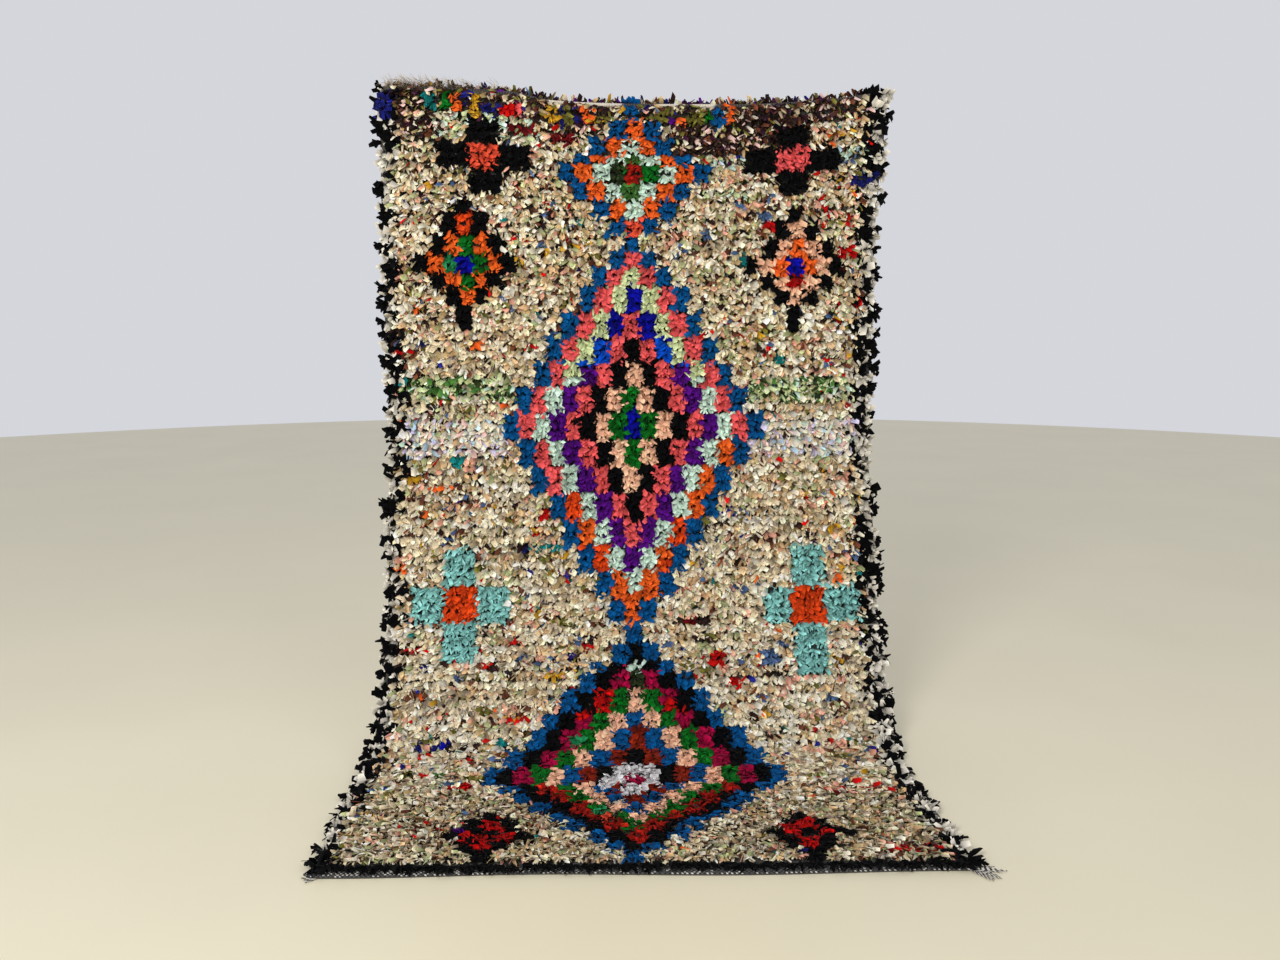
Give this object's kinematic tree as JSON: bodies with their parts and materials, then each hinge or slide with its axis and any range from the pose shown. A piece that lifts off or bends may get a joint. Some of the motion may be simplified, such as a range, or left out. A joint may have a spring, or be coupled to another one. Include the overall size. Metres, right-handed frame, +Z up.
{
  "type": "boucherouite rug",
  "caption": "Shaggy rag-pile rug hung by its folded-over top edge, its foot swept out and laid on the floor, with locks along both sides and a twined end band.",
  "frame": {"origin": "on the floor, under the middle of the rug's bounding box", "axes": "+Z up; the pile faces -Y on the hanging part and the foot runs out on the floor towards -Y; +X to the right seen from the front"},
  "size_m": [1.254, 0.8172, 1.5016],
  "materials": {
    "rag_pile": "matt cotton rag strips, cream and multicoloured",
    "black_rag": "matt black rag locks",
    "woven_wool": "dry twined wool and cotton, black and off-white"
  },
  "bodies": {
    "root": {"rug_field": "rag_pile", "edge_left": "black_rag", "edge_right": "black_rag", "end_band": "woven_wool"}
  },
  "joints": []
}
